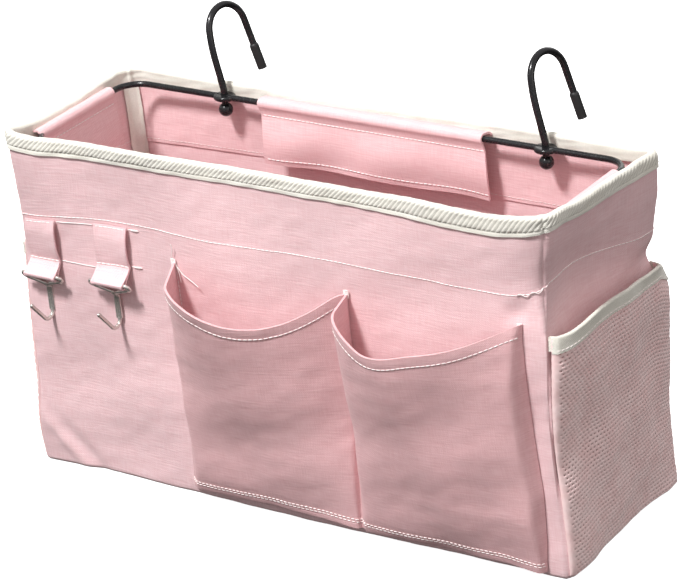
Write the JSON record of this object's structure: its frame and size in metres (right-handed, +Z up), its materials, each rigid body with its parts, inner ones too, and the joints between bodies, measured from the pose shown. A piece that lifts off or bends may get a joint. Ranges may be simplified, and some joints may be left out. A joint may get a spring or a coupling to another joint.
{
  "type": "hanging storage bag",
  "caption": "Open fabric storage bag with a wire-held rim, two bellows pockets, mesh end pockets and two swivelling rail hooks.",
  "frame": {"origin": "centre of the underside, which is also the middle of the base_rest face", "axes": "+X along the bag to the right as seen from its front, +Y towards the rail behind it, +Z up"},
  "size_m": [0.4198, 0.1895, 0.2736],
  "materials": {
    "canvas": "plain-woven cotton and linen canvas, pink",
    "tape": "cream twill tape",
    "mesh": "knitted spacer mesh, pink",
    "board": "plain stiffening board",
    "black_wire": "gloss black coated iron wire",
    "black_rubber": "soft black vinyl",
    "bright_wire": "nickel-plated steel wire"
  },
  "bodies": {
    "bag": {"bottom_panel": "canvas", "base_board": "board", "bottom_lining": "canvas", "front_panel": "canvas", "back_panel": "canvas", "left_panel": "canvas", "right_panel": "canvas", "top_facing": "canvas", "rim_binding": "tape", "corner_tape_front_left": "tape", "corner_tape_front_right": "tape", "corner_tape_back_left": "tape", "corner_tape_back_right": "tape", "wire_frame": "black_wire", "back_sleeve": "canvas", "front_sleeve": "canvas", "left_sleeve": "canvas", "right_sleeve": "canvas", "front_pocket_strip": "canvas", "mesh_pocket_left": "mesh", "mesh_pocket_right": "mesh", "mesh_binding_left": "tape", "mesh_binding_right": "tape", "hook_tab_left": "canvas", "hook_tab_right": "canvas"},
    "hanger_hook_left": {"hanger_hook_left": "black_wire", "hook_ball_left": "black_wire", "hook_cap_left": "black_rubber"},
    "hanger_hook_right": {"hanger_hook_right": "black_wire", "hook_ball_right": "black_wire", "hook_cap_right": "black_rubber"},
    "wire_hook_left": {"wire_hook_left": "bright_wire"},
    "wire_hook_right": {"wire_hook_right": "bright_wire"}
  },
  "joints": [
    {"name": "hanger_swivel_left", "type": "hinge", "parent": "bag", "child": "hanger_hook_left", "pos_m": [-0.1095, 0.052, 0.2175], "axis": [0, 0, 1], "continuous": true},
    {"name": "hanger_swivel_right", "type": "hinge", "parent": "bag", "child": "hanger_hook_right", "pos_m": [0.1265, 0.052, 0.2175], "axis": [0, 0, 1], "continuous": true},
    {"name": "wire_hook_swing_left", "type": "hinge", "parent": "bag", "child": "wire_hook_left", "pos_m": [-0.173, -0.07378, 0.136], "axis": [-1, 0, 0], "range_deg": [0, 120]},
    {"name": "wire_hook_swing_right", "type": "hinge", "parent": "bag", "child": "wire_hook_right", "pos_m": [-0.1195, -0.07375, 0.1395], "axis": [-1, 0, 0], "range_deg": [0, 120]}
  ]
}
